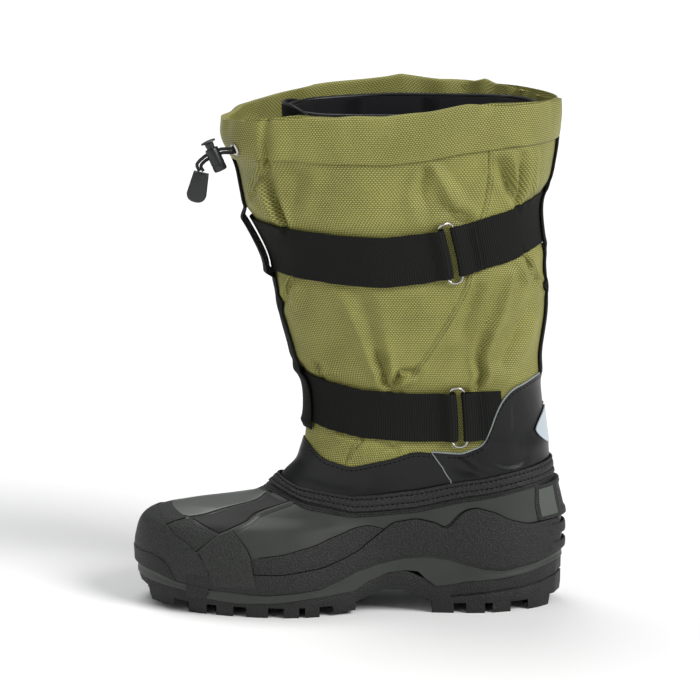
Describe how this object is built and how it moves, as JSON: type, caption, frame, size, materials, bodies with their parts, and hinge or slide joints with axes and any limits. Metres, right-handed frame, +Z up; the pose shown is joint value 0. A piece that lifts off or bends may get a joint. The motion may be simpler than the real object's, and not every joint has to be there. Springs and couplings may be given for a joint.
{
  "type": "insulated winter boot",
  "caption": "Tall pull-on cold-weather boot: nylon shaft with two straps and a drawcord collar, moulded rubber foot with side and toe guards, lugged sole and a felt inner boot.",
  "frame": {"origin": "on the floor, under the middle of the boot's box without the drawcord's pieces", "axes": "+Z up along the shaft, -X to the toe, -Y to the lateral (outer) side of the left foot"},
  "size_m": [0.3234, 0.1456, 0.3802],
  "materials": {
    "sole_rubber": "satin moulded rubber, dark grey-green, scuffed on the lugs",
    "shell_rubber": "smooth satin rubber",
    "guard_rubber": "moulded rubber with a fine pebble texture",
    "leather": "black satin leather, creased, grey cut edges",
    "nylon": "olive-green diagonal twill nylon with a slight sheen",
    "webbing": "black ribbed webbing",
    "strap_black": "black coated strap, stitched",
    "felt": "black napped felt",
    "steel": "nickel-plated steel",
    "black_plastic": "black moulded plastic",
    "reflector": "pale grey retroreflective cloth",
    "cord": "black braided cord"
  },
  "bodies": {
    "boot": {"outsole": "sole_rubber", "midsole": "sole_rubber", "foot_shell": "shell_rubber", "side_guard_lateral": "guard_rubber", "side_guard_medial": "guard_rubber", "toe_guard": "guard_rubber", "heel_tab": "guard_rubber", "shell_lip": "guard_rubber", "shaft": "nylon", "heel_quarter": "leather", "vamp_leather": "leather", "heel_reflector": "reflector", "collar_hem": "nylon", "eyelet": "steel", "inner_boot": "felt", "insole": "felt", "strap_upper_front": "strap_black", "strap_upper_rear": "strap_black", "strap_lower_front": "strap_black", "strap_lower_under": "strap_black", "strap_lower_rear": "strap_black", "ring_upper": "steel", "ring_lower": "steel", "front_webbing": "webbing", "back_webbing": "webbing", "toggle_body": "black_plastic", "cord_end": "black_plastic", "cord_outer": "cord", "cord_inner": "cord"},
    "plunger": {"toggle_plunger": "black_plastic"}
  },
  "joints": [
    {"name": "plunger_press", "type": "slide", "parent": "boot", "child": "plunger", "axis": [0.408, 0, -0.913], "range_m": [0, 0.0035], "stiffness_N_per_m": 300, "springref_m": -0.002}
  ]
}
